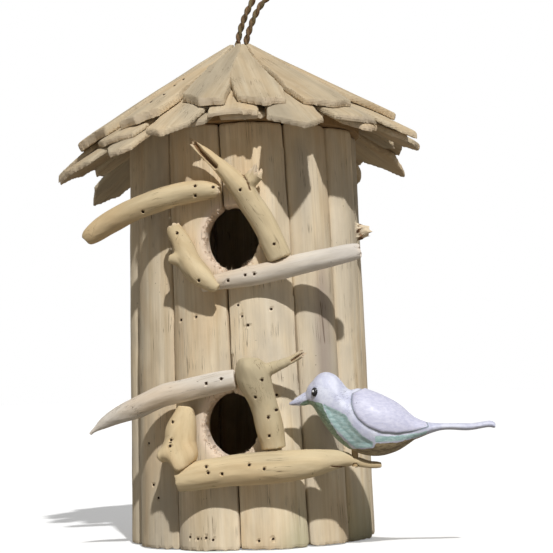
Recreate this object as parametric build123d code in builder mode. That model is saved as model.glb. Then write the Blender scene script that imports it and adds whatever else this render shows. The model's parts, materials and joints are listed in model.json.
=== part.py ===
from build123d import *
import os
from math import cos, degrees, radians, sin, sqrt, tan

# Hanging nest box: a round wall of split driftwood staves under a shingled cone, with two entrances,
# framed by branches, a rope loop to hang it by and a carved bird on the lower perch.
# The origin is the centre of the foot. +Z is up, and the entrances face -Y.
# Bearings are degrees from the front (-Y), growing towards +X.

# Wall
wall_height = 265
foot_radius = 80.5  # over a stave's crown, at the foot
head_radius = 76.5  # over a stave's crown, at the top
stave_crown = 5.5  # how far a crown stands proud of the seams
stave_thickness = 14
foot_seams = (-86, -65.5, -29.5, 2.5, 36.5, 62, 92, 119, 150, 181, 210, 243, 274)  # bearings
head_seams = (-84, -64, -33, -3.5, 30, 57, 88, 119, 150, 181, 210, 243, 276)
fit_gap = 0.3  # between pieces that are nailed or wedged side by side

# Entrances
upper_hole_across = 3
upper_hole_height = 192
lower_hole_across = 0
lower_hole_height = 76.5
hole_width = 33
hole_rise = 39
rim_bevel = 3.2
rim_depth = 4.5
cutter_margin = 1  # a cutter starts this far outside what it cuts

# Floors
floor_thickness = 8
middle_floor_height = 122

# Branch stub on the right-hand stave
stub_bearing = 82
stub_height = 199
stub_radius = 7.5
stub_reach = 7
stub_root = 4  # how deep it sits in the stave's flesh
stub_taper = 14  # degrees

# Roof
roof_pitch = 31.5
roof_lean = 2.25  # the cone leans, so its right-hand side is shallower
core_overhang = 1.5
core_rim = 5
core_thickness = 6
core_rim_width = 18
shingle_thickness = 4
shingle_crown = 1.7  # how far its long edges fall below its ridge
crown_plane_off = 0.3  # taken off the ridge
sector_gap = 1.0  # degrees between two shingles of one layer
rope_hole_radius = 6.3

# Rope
rope_diameter = 4.5
knot_radius = 9
knot_neck = 4

# Bird, placed from the lower entrance's centre, and outwards from the staves' crowns there
bird_out = 7.65  # its middle plane
beak_tip = (37, 11.7)
beak_root = (53, 16)
beak_tip_radius = 0.6
beak_radius = 4.2
peg_radius = 2
peg_length = 18
peg_across = 76
peg_out = 6.85
peg_drop = 26.5  # to its foot

# Branches
branch_spacing = 9  # between the circles that a limb is lofted through


def crown_radius(height):
    """Radius over the staves' crowns at a height."""
    return foot_radius + (head_radius - foot_radius) * height / wall_height


def inner_radius(height):
    """Radius of the hollow inside the staves at a height."""
    return crown_radius(height) - stave_crown - stave_thickness


def at_bearing(radius, bearing, height=0):
    """A point by its bearing."""
    return (radius * sin(radians(bearing)), -radius * cos(radians(bearing)), height)


def write(piece, name):
    """Label a piece and write it as its own file."""
    piece.label = name
    export_step(piece, f"parts/{name}.step")


os.makedirs("parts", exist_ok=True)


# Cutters for the entrances, bevelled at the wall's outer face
def entrance_cutter(across, height):
    front = crown_radius(height)
    flare = Plane(origin=(across, -front - cutter_margin, height), x_dir=(1, 0, 0), z_dir=(0, 1, 0))
    throat = flare.offset(rim_depth + cutter_margin)
    with BuildPart() as cutter:
        with BuildSketch(flare):
            Ellipse(hole_width / 2 + rim_bevel, hole_rise / 2 + rim_bevel)
        with BuildSketch(throat):
            Ellipse(hole_width / 2, hole_rise / 2)
        loft()
        with BuildSketch(throat):
            Ellipse(hole_width / 2, hole_rise / 2)
        extrude(amount=stave_crown + stave_thickness + rim_depth)
    return cutter.part


upper_cutter = entrance_cutter(upper_hole_across, upper_hole_height)
lower_cutter = entrance_cutter(lower_hole_across, lower_hole_height)


# Staves
def stave_section(height, left, right):
    """Cross-section of a split log between two seam bearings."""
    crown = crown_radius(height)
    seam = crown - stave_crown
    inner = inner_radius(height)
    half_gap = degrees(fit_gap / 2 / seam)
    start = left + half_gap
    end = right - half_gap
    middle = (start + end) / 2
    with BuildSketch(Plane.XY.offset(height)) as section:
        with BuildLine():
            bark = ThreePointArc(at_bearing(seam, start), at_bearing(crown, middle), at_bearing(seam, end))
            side = Line(bark @ 1, at_bearing(inner, end))
            back = ThreePointArc(side @ 1, at_bearing(inner, middle), at_bearing(inner, start))
            Line(back @ 1, bark @ 0)
        make_face()
    return section.sketch


hole_bearing = degrees(hole_width / 2 / foot_radius)
stave_edges = zip(foot_seams, foot_seams[1:], head_seams, head_seams[1:])
for number, (left, right, head_left, head_right) in enumerate(stave_edges, start=1):
    with BuildPart() as stave:
        add(stave_section(0, left, right))
        add(stave_section(wall_height, head_left, head_right))
        loft(ruled=True)
        if left < stub_bearing < right:
            root = crown_radius(stub_height) - stave_crown - stub_root
            outward = at_bearing(1, stub_bearing)
            stub_plane = Plane(origin=at_bearing(root, stub_bearing, stub_height), z_dir=outward)
            with BuildSketch(stub_plane):
                Circle(stub_radius)
            extrude(amount=stub_reach + stave_crown + stub_root, taper=stub_taper)
        if left < hole_bearing and right > -hole_bearing:
            add(upper_cutter, mode=Mode.SUBTRACT)
            add(lower_cutter, mode=Mode.SUBTRACT)
    write(stave.part, f"wall_stave_{number:02d}")


# Floors, each a disc wedged inside the staves
def floor_disc(bottom):
    foot = inner_radius(bottom) - fit_gap
    head = inner_radius(bottom + floor_thickness) - fit_gap
    with BuildPart() as disc:
        with BuildSketch(Plane.XY.offset(bottom)):
            Circle(foot)
        with BuildSketch(Plane.XY.offset(bottom + floor_thickness)):
            Circle(head)
        loft()
    return disc.part


write(floor_disc(0), "base_plate")
write(floor_disc(middle_floor_height), "middle_floor")
write(floor_disc(wall_height - floor_thickness), "top_plate")

# Roof cone. Its layers are shells between cones of one pitch, stacked down from the peak.
slope = tan(radians(roof_pitch))
layer_rise = shingle_thickness / cos(radians(roof_pitch)) + fit_gap / cos(radians(roof_pitch))
shell_rise = shingle_thickness / cos(radians(roof_pitch))
core_radius = head_radius + core_overhang
core_peak = wall_height + core_rim + slope * core_radius
peak_height = core_peak + 3 * layer_rise
roof_frame = Plane(
    origin=(0, 0, peak_height),
    x_dir=(cos(radians(roof_lean)), 0, sin(radians(roof_lean))),
    z_dir=(-sin(radians(roof_lean)), 0, cos(radians(roof_lean))),
)
profile_plane = Plane(origin=roof_frame.origin, x_dir=roof_frame.x_dir, z_dir=-roof_frame.y_dir)
roof_axis = Axis(roof_frame.origin, roof_frame.z_dir)
roof_reach = 2 * foot_radius


def cone_shell(drop, rise):
    """A conical shell whose top starts a drop below the peak, bored upright for the rope."""
    with BuildPart() as shell:
        with BuildSketch(profile_plane):
            Polygon(
                (0, -drop),
                (roof_reach, -drop - slope * roof_reach),
                (roof_reach, -drop - rise - slope * roof_reach),
                (0, -drop - rise),
                align=None,
            )
        revolve(axis=roof_axis)
        with BuildSketch():
            Circle(rope_hole_radius)
        extrude(amount=2 * peak_height, mode=Mode.SUBTRACT)
    return shell.part


def solid_cone(drop, radius):
    """What lies under a cone and inside an upright cylinder that stands on the wall."""
    with BuildPart() as cone:
        with BuildSketch(profile_plane):
            Polygon(
                (0, -drop),
                (roof_reach, -drop - slope * roof_reach),
                (0, -drop - 2 * slope * roof_reach),
                align=None,
            )
        revolve(axis=roof_axis)
        with BuildSketch(Plane.XY.offset(wall_height)):
            Circle(radius)
        extrude(amount=peak_height, mode=Mode.INTERSECT)
    return cone.part


inside_drop = 3 * layer_rise + core_thickness / cos(radians(roof_pitch))
core_hollow = solid_cone(inside_drop, core_radius - core_rim_width)
with BuildPart() as roof_core:
    add(solid_cone(3 * layer_rise, core_radius))
    add(core_hollow, mode=Mode.SUBTRACT)
    with BuildSketch():
        Circle(rope_hole_radius)
    extrude(amount=2 * peak_height, mode=Mode.SUBTRACT)
write(roof_core.part, "roof_core")


def shingle(shell, drop, left, right, overhangs):
    """A split slab between two bearings, with the overhang past the wall at its two corners and tip."""
    start = left + sector_gap / 2
    end = right - sector_gap / 2
    middle = (start + end) / 2
    reaches = [foot_radius + overhang for overhang in overhangs]
    shoulder = 0.8 * min(reaches)
    corner_inset = 0.1 * (end - start)
    half_width = max(reaches) * tan(radians((end - start) / 2))
    crown = 1 / (2 * shingle_crown / half_width**2 + sin(radians(roof_pitch)) / max(reaches))
    downhill = roof_frame.x_dir * sin(radians(middle)) - roof_frame.y_dir * cos(radians(middle))
    fall = downhill * cos(radians(roof_pitch)) - roof_frame.z_dir * sin(radians(roof_pitch))
    face = downhill * sin(radians(roof_pitch)) + roof_frame.z_dir * cos(radians(roof_pitch))
    ridge = roof_frame.origin - roof_frame.z_dir * drop - face * crown_plane_off
    with BuildPart() as slab:
        with BuildSketch(roof_frame):
            Polygon(
                (0, 0),
                at_bearing(shoulder, start)[:2],
                at_bearing(reaches[0], start + corner_inset)[:2],
                at_bearing(reaches[1], middle)[:2],
                at_bearing(reaches[2], end - corner_inset)[:2],
                at_bearing(shoulder, end)[:2],
                align=None,
            )
        extrude(amount=-peak_height)
        add(shell, mode=Mode.INTERSECT)
        with BuildSketch(Plane(origin=ridge - face * crown - fall * foot_radius, z_dir=fall)):
            Circle(crown)
        extrude(amount=2 * roof_reach, mode=Mode.INTERSECT)
    return slab.part


# Each shingle: left and right bearing, then the overhang at its left corner, tip and right corner
top_layer = {
    "top_shingle_front": [(3, 27, (9, 17, 15))],
    "top_shingle_front_right": [(27, 56, (14, 21, 16))],
    "top_shingle_right": [(56, 98, (4, 27.5, 14))],
    "top_shingle_right_back": [(98, 125, (8, 16, 12))],
    "top_shingles_back": [(125, 152, (18, 23, 17)), (152, 190, (15, 20, 18)), (190, 232, (17, 24, 19))],
    "top_shingle_left_back": [(232, 271, (20, 27, 22))],
    "top_shingle_left": [(271, 315, (22, 31, 24))],
    "top_shingle_left_front": [(315, 338, (22, 23, 16))],
    "top_shingle_front_left": [(338, 363, (0, 13, 14))],
}
middle_layer = {
    "middle_shingles_front": [(-27, -8, (28, 35, 24)), (-8, 14, (17, 16, 21)), (14, 37, (27, 40, 29))],
    "middle_shingles_right": [
        (37, 61, (27, 28, 25)),
        (61, 78, (28, 40, 31)),
        (78, 104, (20, 25, 18)),
        (104, 134, (26, 32, 24)),
    ],
    "middle_shingles_back": [(134, 163, (28, 34, 30)), (163, 193, (24, 30, 32)), (193, 225, (30, 36, 26))],
    "middle_shingles_left": [(225, 259, (28, 37, 32)), (259, 298, (30, 47, 24)), (298, 333, (24, 30, 26))],
}
eaves_layer = {
    "eaves_shingles_front": [(-27, -4, (12, 15, 13)), (-4, 18, (11, 14, 12)), (18, 42, (14, 19, 16))],
    "eaves_shingles_right": [
        (42, 62, (20, 26, 23)),
        (62, 82, (28, 34, 30)),
        (82, 104, (31, 34.5, 26)),
        (104, 117, (18, 22, 18)),
        (117, 139, (28, 45, 24)),
    ],
    "eaves_shingles_back": [
        (139, 153, (24, 38, 48)),
        (153, 181, (32, 40, 34)),
        (181, 209, (35, 43, 32)),
        (209, 236, (36, 41, 38)),
    ],
    "eaves_shingles_left": [
        (236, 256, (40, 51, 38)),
        (256, 271, (24, 28, 24)),
        (271, 296, (32, 44, 41)),
        (296, 315, (38, 50, 40)),
        (315, 333, (31, 39, 33)),
    ],
}
for depth, layer in enumerate((top_layer, middle_layer, eaves_layer)):
    drop = depth * layer_rise
    shell = cone_shell(drop, shell_rise)
    for name, slabs in layer.items():
        solids = [shingle(shell, drop, *slab).solid() for slab in slabs]
        write(Compound(children=solids) if len(solids) > 1 else solids[0], name)


# Branches
def branch(stations, across, height, grow=0):
    """A limb through stations of (across, out, up, radius), lofted through evenly spaced circles.

    Across and up are taken from an entrance's centre, and out from the staves' crowns there.
    """
    front = crown_radius(height)
    points = [Vector(across + side, -front - out, height + up) for side, out, up, _ in stations]
    spine = Edge.make_spline(points)
    lengths = [0.0]
    for last, point in zip(points, points[1:]):
        lengths.append(lengths[-1] + (point - last).length)
    count = max(4, round(lengths[-1] / branch_spacing))
    with BuildPart() as limb:
        for step in range(count + 1):
            share = step / count
            reach = share * lengths[-1]
            run = max(index for index in range(len(points) - 1) if lengths[index] <= reach)
            along_run = (reach - lengths[run]) / (lengths[run + 1] - lengths[run])
            radius = stations[run][3] + (stations[run + 1][3] - stations[run][3]) * along_run
            tangent = spine.tangent_at(share)
            level = tangent.cross(Vector(0, 1, 0)).normalized()
            with BuildSketch(Plane(origin=spine.position_at(share), x_dir=level, z_dir=tangent)):
                Circle(radius + grow)
        loft()
    return limb.part


with BuildPart() as wall_envelope:
    with BuildSketch():
        Circle(foot_radius + fit_gap)
    with BuildSketch(Plane.XY.offset(wall_height)):
        Circle(head_radius + fit_gap)
    loft()

upper_place = (upper_hole_across, upper_hole_height)
lower_place = (lower_hole_across, lower_hole_height)

# The limbs of each entrance in the order they were nailed on, each scribed to those before it
limb_stations = {
    "upper_perch": (upper_place, [
        [(-19, 4.2, -29.6, 4.2), (-5.4, 4, -27.3, 5.3), (12, 3.4, -24.9, 6.2), (37, 3, -19.8, 6.5),
         (61.6, 2.8, -15.3, 6.2), (76, 2.4, -12.6, 5.8), (80, 2.2, -12, 4.2)],
    ]),
    "upper_left_branch": (upper_place, [
        [(-93, -3.5, 2, 4), (-85, -2.6, 8, 7), (-73, -0.6, 14.8, 7.4), (-60, 1.4, 20.3, 7.2),
         (-43, 3, 25.5, 7.3), (-25, 3.6, 28.9, 7), (-12, 4.4, 29, 6.2), (-5.5, 4.8, 28.2, 3.4)],
    ]),
    "upper_left_stub": (upper_place, [
        [(-36.5, -1, 9.5, 4), (-34.5, -0.6, 4.5, 5.9), (-30, 1.4, -4, 6.6), (-26.5, 4.4, -13, 7.4),
         (-19, 8.6, -22.5, 7.2), (-11.5, 11, -29, 5.2), (-6.5, 11.6, -32, 2.4)],
        [(-26, 5, -13.5, 6), (-33.5, 6, -12.8, 4.4), (-38.5, 7, -12.2, 2.6)],
    ]),
    "upper_right_fork": (upper_place, [
        [(-21.5, 10, 59.2, 2.2), (-14.7, 9.6, 53, 3.4), (-4.5, 8.6, 43.9, 4.6), (5.6, 7.2, 32.4, 6.7),
         (13.8, 5.8, 19.8, 7.4), (21.3, 4.2, 7.8, 7.6), (26.5, 3.4, -4.1, 7.7), (30.6, 3, -15, 7.6)],
        [(9.5, 7.2, 28.5, 5), (14, 7.8, 33.5, 5.2), (20, 8.8, 38, 4.4)],
    ]),
    "lower_perch": (lower_place, [
        [(-32.8, 7.1, -31.9, 7.8), (-21.7, 7.4, -30, 9.2), (3, 7.8, -27, 9.6), (30.5, 7.8, -25.4, 9.7),
         (46, 7.6, -24.4, 8.9), (62, 7.2, -22.6, 6.8), (70, 6.8, -22.2, 4.7), (83, 6, -25.2, 2.9),
         (92, 5.6, -25.6, 1.7)],
    ]),
    "lower_left_branch": (lower_place, [
        [(-89, -1.6, -3.5, 1.2), (-79, -0.8, 3.8, 3.6), (-70, 0, 8.2, 5.6), (-58, 1.4, 12.4, 6.7),
         (-43.2, 3, 18.4, 7.1), (-24.1, 4, 22.8, 7.2), (-7.7, 5, 25.9, 7), (5, 5.6, 27.8, 6.2)],
    ]),
    "lower_left_stub": (lower_place, [
        [(-28, 1.6, 11.6, 4.6), (-28.7, 2.4, 7, 7), (-30, 3.2, -1.5, 9.3), (-30.6, 5, -9.9, 9.6),
         (-28.2, 7.6, -17.7, 8.2), (-26.5, 9, -24, 5)],
        [(-31.5, 5.4, -10.5, 7), (-37, 7.4, -15.5, 4.4), (-41.5, 9, -19.6, 2.8)],
    ]),
    "lower_right_fork": (lower_place, [
        [(14.5, 9.4, 40.4, 5.4), (14.8, 9.2, 36, 10), (16.4, 8.4, 28, 11), (20.9, 6.2, 14.7, 8.6),
         (24.5, 4.8, -0.5, 8.4), (26.6, 4, -14.5, 7.4)],
        [(18, 8.4, 30, 5.6), (27, 9, 33.5, 4), (36, 9.6, 36.8, 3), (47, 10.8, 42.2, 2.4)],
    ]),
}
limbs = {}
for name, (place, arms) in limb_stations.items():
    with BuildPart() as limb:
        for arm in arms:
            add(branch(arm, *place))
        add(wall_envelope.part, mode=Mode.SUBTRACT)
        for other, (other_place, other_arms) in limb_stations.items():
            if other == name:
                break
            if other_place == place:
                for other_arm in other_arms:
                    add(branch(other_arm, *other_place, grow=fit_gap), mode=Mode.SUBTRACT)
    limbs[name] = limb.part

# Carved bird: sections of (across, top, underside, half width), beak to the left
bird_sections = [
    (48.5, 20, 12, 3.6),
    (53, 26.5, 8, 8),
    (60, 30.4, -3.5, 10.6),
    (68, 27.5, -12.5, 12),
    (77, 22, -18.1, 14),
    (87, 17.5, -20.6, 14.4),
    (97, 12.9, -19.5, 13),
    (107, 5.7, -14.9, 9.4),
    (117, -1.2, -8.7, 5.6),
    (127, -2.9, -5.8, 3.8),
    (138, -3.1, -5.9, 3.6),
    (149, -3.2, -5.8, 3.6),
    (160, -3.6, -6, 3),
]
bird_origin = Vector(lower_hole_across, -crown_radius(lower_hole_height) - bird_out, lower_hole_height)
peg_origin = Vector(
    lower_hole_across + peg_across,
    -crown_radius(lower_hole_height) - peg_out,
    lower_hole_height - peg_drop,
)


def peg(radius, grow=0):
    """The upright dowel between the perch and the bird."""
    with BuildPart() as dowel:
        with BuildSketch(Plane(origin=peg_origin - Vector(0, 0, grow))):
            Circle(radius + grow)
        extrude(amount=peg_length + 2 * grow)
    return dowel.part


with BuildPart() as beak:
    beak_line = Vector(beak_root[0] - beak_tip[0], 0, beak_root[1] - beak_tip[1])
    beak_plane = Plane(origin=bird_origin + Vector(beak_tip[0], 0, beak_tip[1]), z_dir=beak_line)
    with BuildSketch(beak_plane):
        Circle(beak_tip_radius)
    with BuildSketch(beak_plane.offset(beak_line.length)):
        Circle(beak_radius)
    loft()

with BuildPart() as carved_bird:
    for across, top, underside, half_width in bird_sections:
        middle = (top + underside) / 2
        section_centre = bird_origin + Vector(across, 0, middle)
        with BuildSketch(Plane(origin=section_centre, x_dir=(0, 1, 0), z_dir=(1, 0, 0))):
            Ellipse(half_width, top - middle)
    loft()
    add(beak.part)
    add(branch(limb_stations["lower_perch"][1][0], *lower_place, grow=fit_gap), mode=Mode.SUBTRACT)
    add(peg(peg_radius, fit_gap), mode=Mode.SUBTRACT)
with BuildPart() as lower_perch:
    add(limbs["lower_perch"])
    add(peg(peg_radius, fit_gap), mode=Mode.SUBTRACT)
limbs["lower_perch"] = lower_perch.part

for name, limb in limbs.items():
    write(limb, name)
write(carved_bird.part, "carved_bird")
write(peg(peg_radius), "bird_peg")

# Rope: both legs pass through the peak side by side, and the knot under the core holds them
inside_peak = roof_frame.origin - roof_frame.z_dir * inside_drop
hole_edge = inside_peak.Z - tan(radians(roof_pitch + roof_lean)) * (rope_hole_radius + inside_peak.X)
knot_height = hole_edge - sqrt((knot_radius + fit_gap) ** 2 - rope_hole_radius**2)
neck_top = knot_height + knot_radius + knot_neck
leg_across = rope_diameter / 2 + fit_gap
with BuildPart() as rope_knot:
    with Locations((0, 0, knot_height)):
        Sphere(knot_radius)
    with BuildSketch(Plane.XY.offset(knot_height)):
        Circle(rope_hole_radius - fit_gap)
    extrude(amount=neck_top - knot_height)
write(rope_knot.part, "rope_knot")

# The loop's route from one end to the other: (across, depth, height above the neck's top)
rope_route = [
    (-leg_across, 0, 0),
    (-leg_across, 0, 19),
    (3.4, -0.4, 37.5),
    (11, 0.4, 51),
    (16.5, -0.3, 64),
    (19, 0.4, 77.5),
    (23, 0.3, 90),
    (33.5, -0.2, 98.5),
    (47, 0.3, 99),
    (58, -0.3, 91),
    (61.5, 0.4, 78),
    (56.5, -0.2, 65.5),
    (44.5, 0.4, 58.5),
    (33, -0.3, 56),
    (24, 0.5, 53),
    (15.8, -0.4, 46.6),
    (8.6, 0.2, 34.5),
    (leg_across, 0, 16),
    (leg_across, 0, 0),
]
route = [Vector(across, depth, neck_top + height) for across, depth, height in rope_route]
runs = [(end - start).length for start, end in zip(route, route[1:])]
turns = [
    (corner - last).get_angle(following - corner)
    for last, corner, following in zip(route, route[1:], route[2:])
]
bends = [0.45 * min(pair) / tan(radians(turn / 2)) for pair, turn in zip(zip(runs, runs[1:]), turns)]
print("rope bend radii", [round(bend, 1) for bend in bends])
with BuildPart() as hanging_loop:
    with BuildLine() as rope_line:
        FilletPolyline(*route, radius=bends)
    with BuildSketch(Plane(origin=route[0], z_dir=route[1] - route[0])):
        Circle(rope_diameter / 2)
    sweep(path=rope_line.wires()[0])
rope_length = rope_line.wires()[0].length
print("rope length", rope_length, "volume share", hanging_loop.part.volume / rope_length / rope_diameter**2 / 0.7854)
write(hanging_loop.part, "hanging_loop")
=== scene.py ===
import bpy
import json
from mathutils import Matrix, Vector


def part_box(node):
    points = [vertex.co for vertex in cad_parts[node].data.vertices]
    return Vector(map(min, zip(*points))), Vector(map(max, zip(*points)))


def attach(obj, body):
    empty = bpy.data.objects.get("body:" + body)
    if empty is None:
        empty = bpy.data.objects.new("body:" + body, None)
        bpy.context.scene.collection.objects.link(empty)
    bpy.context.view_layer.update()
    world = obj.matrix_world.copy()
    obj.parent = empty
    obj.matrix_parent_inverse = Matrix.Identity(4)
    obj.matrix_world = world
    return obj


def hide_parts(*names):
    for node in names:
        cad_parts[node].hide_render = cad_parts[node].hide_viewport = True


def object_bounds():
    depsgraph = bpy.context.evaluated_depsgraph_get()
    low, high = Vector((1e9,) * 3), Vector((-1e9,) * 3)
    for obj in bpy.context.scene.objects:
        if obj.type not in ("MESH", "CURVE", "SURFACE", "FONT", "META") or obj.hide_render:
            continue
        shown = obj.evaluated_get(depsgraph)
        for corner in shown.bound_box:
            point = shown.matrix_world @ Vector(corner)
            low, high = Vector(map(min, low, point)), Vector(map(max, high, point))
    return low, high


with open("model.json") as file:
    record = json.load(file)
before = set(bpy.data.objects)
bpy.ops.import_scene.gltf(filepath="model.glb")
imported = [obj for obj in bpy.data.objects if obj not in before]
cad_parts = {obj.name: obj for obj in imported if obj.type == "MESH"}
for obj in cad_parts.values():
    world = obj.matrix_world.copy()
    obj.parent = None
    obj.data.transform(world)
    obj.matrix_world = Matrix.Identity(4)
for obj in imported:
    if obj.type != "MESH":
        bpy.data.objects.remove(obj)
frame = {"nodes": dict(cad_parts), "record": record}
cad_box = [list(corner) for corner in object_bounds()]

import json
import random
from math import cos, pi, radians, sin

import bpy
import numpy as np
from mathutils import Matrix, Vector, noise

# Hanging nest box of driftwood: split staves, a shingled cone, limbs round two entrances, a rope loop
# and a carved, painted bird. +Z is up, the entrances face -Y, and lengths are in metres.

MM = 0.001
chance = random.Random(7)
noise.seed_set(1795616539)  # or else the slabs' outlines change with the clock
slot_of = {row["node"]: row["material_slot"] for row in frame["record"]["subparts"]}

# The roof's peak, and the entrances' middles and size
peak = Vector((0, 0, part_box("top_shingle_front")[1].z))
upper_hole = Vector((0.003, -0.0776, 0.192))
lower_hole = Vector((0, -0.0793, 0.0765))
hole_width = 0.033
hole_rise = 0.039
bird_low, bird_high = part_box("carved_bird")
bird_middle = (bird_low.y + bird_high.y) / 2

# How finely each kind of wood is modelled
stave_grid = 0.0017
shingle_grid = 0.0013
limb_grid = 0.0009
bird_grid = 0.0008

# The relief of each kind of wood, as layers of waves: how wide, how far drawn out along the fibres, how
# deep, and the level of a wave that leaves the surface where it is
stave_relief = ((0.03, 3.5, 0.0014, 0.62), (0.008, 6.0, 0.0008, 0.6))
shingle_relief = ((0.03, 3.5, 0.001, 0.55), (0.008, 6.0, 0.0004, 0.55))
limb_relief = ((0.016, 2.5, 0.0016, 0.55), (0.005, 4.0, 0.0006, 0.55))


def only(*pieces):
    """Select these pieces alone, the first one active."""
    bpy.ops.object.select_all(action="DESELECT")
    for piece in pieces:
        piece.select_set(True)
    bpy.context.view_layer.objects.active = pieces[0]


def finish_with(piece, kind, **settings):
    """Add a modifier and apply it."""
    only(piece)
    step = piece.modifiers.new(kind.lower(), kind)
    for name, value in settings.items():
        setattr(step, name, value)
    bpy.ops.object.modifier_apply(modifier=step.name)


def edited(piece, *steps):
    """Run edit-mode operators on all of a piece."""
    only(piece)
    bpy.ops.object.mode_set(mode="EDIT")
    bpy.ops.mesh.select_all(action="SELECT")
    for step, settings in steps:
        step(**settings)
    bpy.ops.object.mode_set(mode="OBJECT")


def copy_of(node):
    """A merged copy of a node's mesh."""
    piece = bpy.data.objects.new(f"worn_{node}", frame["nodes"][node].data.copy())
    bpy.context.scene.collection.objects.link(piece)
    piece.data.materials.clear()
    edited(piece, (bpy.ops.mesh.remove_doubles, {"threshold": 2e-6}))
    return piece


def loose_parts(piece):
    """The separate solids of a piece."""
    edited(piece, (bpy.ops.mesh.separate, {"type": "LOOSE"}))
    return list(bpy.context.selected_objects)


def joined(pieces, name):
    only(*pieces)
    if len(pieces) > 1:
        bpy.ops.object.join()
    whole = bpy.context.view_layer.objects.active
    whole.name = name
    whole.data.name = name
    return whole


def points_of(piece):
    """A piece's vertices as an array."""
    flat = np.empty(len(piece.data.vertices) * 3)
    piece.data.vertices.foreach_get("co", flat)
    return flat.reshape(-1, 3)


def normals_of(piece):
    flat = np.empty(len(piece.data.vertices) * 3)
    piece.data.vertex_normals.foreach_get("vector", flat)
    return flat.reshape(-1, 3)


def move_points(piece, points):
    piece.data.vertices.foreach_set("co", np.ascontiguousarray(points, dtype=np.float32).ravel())
    piece.data.update()


def paint(piece, name, values):
    """Write one number or one vector for each vertex."""
    vector = np.ndim(values) == 2
    kind = "FLOAT_VECTOR" if vector else "FLOAT"
    layer = piece.data.attributes.new(name, kind, "POINT")
    data = np.ascontiguousarray(values, dtype=np.float32).ravel()
    layer.data.foreach_set("vector" if vector else "value", data)


def unit(value):
    """The value, held between 0 and 1."""
    return np.clip(value, 0, 1)


def eased(share):
    """A share from 0 to 1 that starts and ends softly."""
    return share * share * (3 - 2 * share)


def ripple(*place):
    """Smooth noise at places that are given as three columns."""
    return np.array([noise.noise(Vector(spot)) for spot in np.column_stack(np.broadcast_arrays(*place))])


def roughen(piece, along, relief):
    """Push the surface in and out by layers of noise that is drawn out along the fibres."""
    for size, stretch, depth, level in relief:
        guide = bpy.data.objects.new("guide", None)
        bpy.context.scene.collection.objects.link(guide)
        guide.rotation_mode = "QUATERNION"
        guide.rotation_quaternion = Vector(along).to_track_quat("Z", "Y")
        guide.scale = (size, size, size * stretch)
        guide.location = [chance.uniform(-1, 1) for _ in range(3)]
        bpy.context.view_layer.update()
        clouds = bpy.data.textures.new("clouds", "CLOUDS")
        clouds.noise_scale = 1.0
        clouds.noise_depth = 2
        finish_with(
            piece, "DISPLACE", texture=clouds, texture_coords="OBJECT", texture_coords_object=guide,
            strength=depth, mid_level=level,
        )
        bpy.data.objects.remove(guide)
        bpy.data.textures.remove(clouds)


def soften(piece, grid, passes=2):
    """Turn the mesh into an even skin and round its edges a little."""
    finish_with(piece, "REMESH", mode="VOXEL", voxel_size=grid)
    finish_with(piece, "SMOOTH", factor=0.6, iterations=passes)


def grain_start():
    """A piece's own place in the pattern of the grain, in millimetres."""
    return [chance.uniform(0, 500) for _ in range(3)]


def grain_along(piece, along, shift):
    """Millimetres across, in depth and along straight fibres."""
    along = Vector(along).normalized()
    across = along.cross(Vector((0, 1, 0)))
    across = across.normalized() if across.length > 0.1 else along.orthogonal().normalized()
    deep = along.cross(across)
    turn = np.array((across, deep, along))
    paint(piece, "grain", points_of(piece) @ turn.T / MM + shift)


def grain_of_limb(piece, line, shift):
    """Millimetres across, in depth and along fibres that follow a limb's line, given across and up."""
    points = points_of(piece) / MM
    best = np.full(len(points), np.inf)
    grain = np.zeros((len(points), 3))
    start = 0.0
    for (x0, z0), (x1, z1) in zip(line, line[1:]):
        run = np.array((x1 - x0, z1 - z0), float)
        length = np.linalg.norm(run)
        way = run / length
        rel = points[:, (0, 2)] - (x0, z0)
        reach = rel @ way
        side = rel @ np.array((-way[1], way[0]))
        away = np.hypot(side, reach - np.clip(reach, 0, length))
        near = away < best
        best[near] = away[near]
        grain[near] = np.column_stack((side, points[:, 1], start + reach))[near]
        start += length
    paint(piece, "grain", grain + shift)


def place_piece(piece, slot, *nodes):
    """Hand a finished piece over: it rides on the one body and stands for its nodes."""
    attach(piece, "root")
    if nodes:
        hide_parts(*nodes)


def finish_node(node, finish):
    """Give a node its finish and leave its mesh as it is."""
    frame["nodes"][node].data.materials.clear()
    frame["nodes"][node].data.materials.append(finish)


def shade(red, green, blue):
    """A display colour, 0 to 255, as Blender's own."""
    def plain(value):
        value /= 255
        return value / 12.92 if value < 0.04045 else ((value + 0.055) / 1.055) ** 2.4
    return (plain(red), plain(green), plain(blue), 1)


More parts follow.
